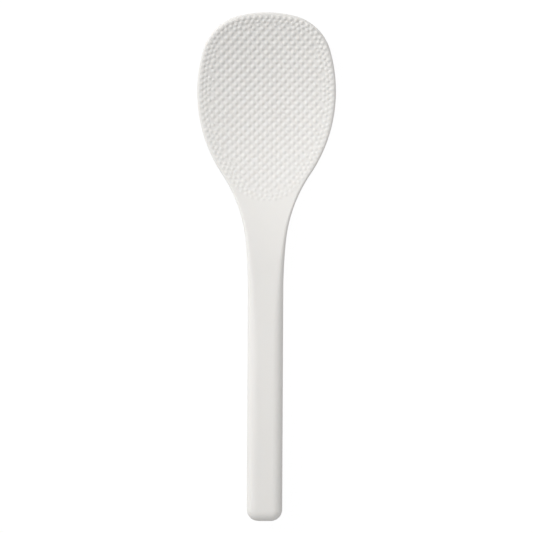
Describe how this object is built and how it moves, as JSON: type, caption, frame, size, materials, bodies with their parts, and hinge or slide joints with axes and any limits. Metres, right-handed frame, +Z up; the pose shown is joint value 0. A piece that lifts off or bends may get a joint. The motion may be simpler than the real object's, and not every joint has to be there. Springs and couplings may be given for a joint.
{
  "type": "rice paddle",
  "caption": "Rice paddle with a shallow dished bowl, a field of raised dots that shed rice, and a bar handle; a silicone skin moulded over a stiff core.",
  "frame": {"origin": "on the table under the middle of the paddle's length, with the paddle lying on its back", "axes": "+Y from the butt of the handle to the tip of the bowl, +Z up out of the dotted face, +X to the right of the dotted face seen with the tip up"},
  "size_m": [0.0602, 0.22, 0.012],
  "materials": {
    "core_nylon": "matte",
    "skin_silicone": "matte"
  },
  "bodies": {
    "root": {"stiffening_core": "core_nylon", "silicone_skin": "skin_silicone"}
  },
  "joints": []
}
